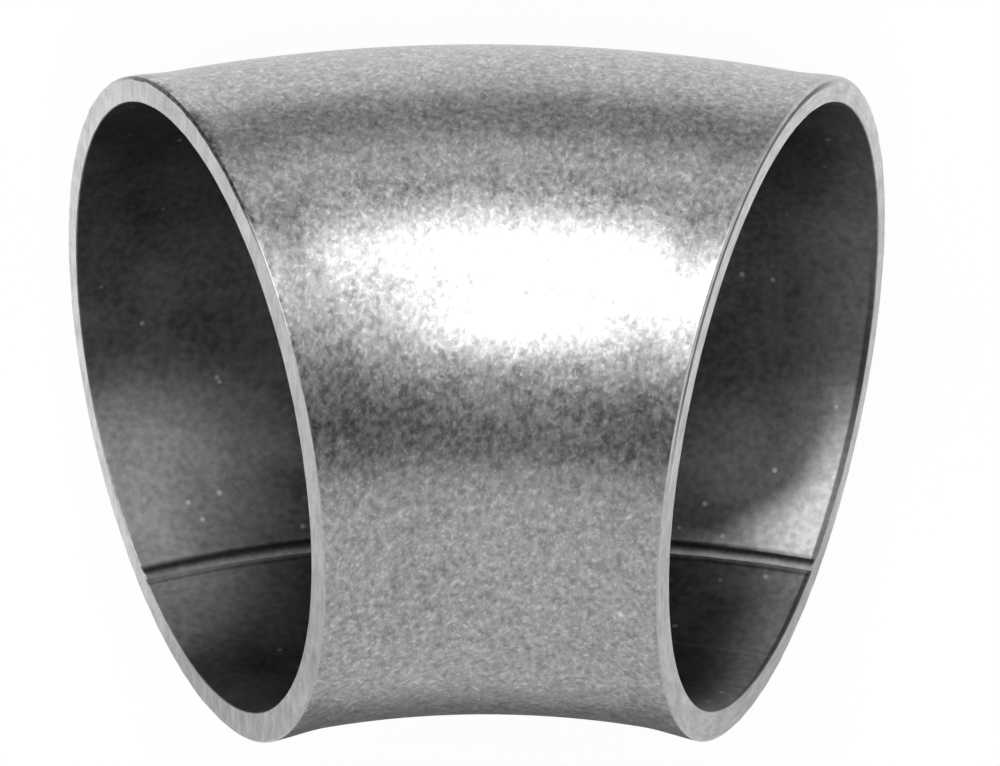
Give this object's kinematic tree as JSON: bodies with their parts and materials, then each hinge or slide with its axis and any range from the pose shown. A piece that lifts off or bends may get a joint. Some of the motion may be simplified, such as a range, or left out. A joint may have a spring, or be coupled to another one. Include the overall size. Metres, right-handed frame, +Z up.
{
  "type": "butt-weld elbow",
  "caption": "45 degree butt-weld elbow: one bent stainless tube with square-cut ground ends, a satin blasted outside and a low inner seam bead.",
  "frame": {"origin": "under the middle of the bend, at the lowest point of its back, where the part rests", "axes": "+X along the part from mouth to mouth, +Y square to the plane of the bend, +Z up from the back of the bend towards its inside"},
  "size_m": [0.0524, 0.0424, 0.0443],
  "materials": {
    "blasted_stainless": "satin blasted outside, ground end faces, darker as-formed bore"
  },
  "bodies": {
    "root": {"elbow": "blasted_stainless"}
  },
  "joints": []
}
